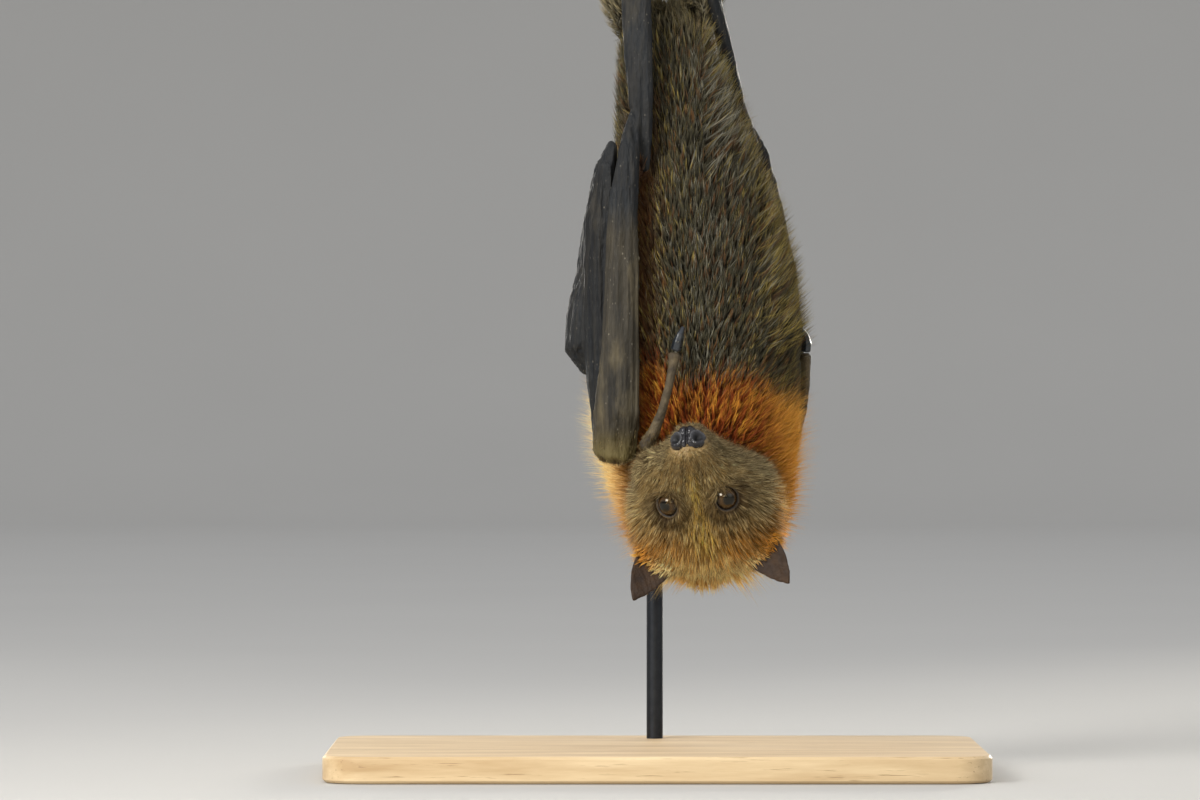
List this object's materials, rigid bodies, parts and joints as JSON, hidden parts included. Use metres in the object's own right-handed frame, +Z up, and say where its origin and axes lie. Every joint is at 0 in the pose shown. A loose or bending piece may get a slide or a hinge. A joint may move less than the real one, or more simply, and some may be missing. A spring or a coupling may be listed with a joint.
{
  "type": "fruit bat model on a display stand",
  "caption": "Life-size grey-headed flying fox hanging head-down from a cut branch by both feet, wings folded, held by a rod on a flat base.",
  "frame": {"origin": "middle of the underside of the display stand's base", "axes": "+Z up, -Y the side that the bat's belly and face are on, -X the side of its left wing"},
  "size_m": [0.3, 0.19, 0.4906],
  "materials": {
    "grey_fur": "short grey-olive fur with pale tips, on the head",
    "rust_fur": "long orange-rufous collar of fur",
    "dark_fur": "dark brown fur flecked with gold and grey",
    "leg_fur": "olive-brown fur down to the ankles",
    "wing_skin": "bare blackish wrinkled skin with a blue-grey sheen",
    "ear_skin": "bare dark chocolate-brown skin",
    "nose_skin": "moist blue-black pad",
    "eye": "glossy dark brown",
    "claw": "polished blue-black horn",
    "foot_skin": "scaly dark skin",
    "bark": "grey-brown bark with cut ends",
    "oak": "oiled oak",
    "dark_steel": "satin dark grey paint"
  },
  "bodies": {
    "root": {"nose": "nose_skin", "head": "grey_fur", "neck": "rust_fur", "trunk": "dark_fur", "eye_left": "eye", "ear_left": "ear_skin", "upper_arm_left": "leg_fur", "forearm_left": "wing_skin", "hand_left": "wing_skin", "wing_tip_left": "wing_skin", "leg_membrane_left": "wing_skin", "thumb_left": "wing_skin", "thumb_claw_left": "claw", "thigh_left": "leg_fur", "shin_left": "leg_fur", "foot_left": "foot_skin", "claw_first_left": "claw", "claw_second_left": "claw", "claw_third_left": "claw", "claw_fourth_left": "claw", "claw_fifth_left": "claw", "eye_right": "eye", "ear_right": "ear_skin", "upper_arm_right": "leg_fur", "forearm_right": "wing_skin", "hand_right": "wing_skin", "wing_tip_right": "wing_skin", "leg_membrane_right": "wing_skin", "thumb_right": "wing_skin", "thumb_claw_right": "claw", "thigh_right": "leg_fur", "shin_right": "leg_fur", "foot_right": "foot_skin", "claw_first_right": "claw", "claw_second_right": "claw", "claw_third_right": "claw", "claw_fourth_right": "claw", "claw_fifth_right": "claw", "perch": "bark", "stand_rod": "dark_steel", "stand_base": "oak"}
  },
  "joints": []
}
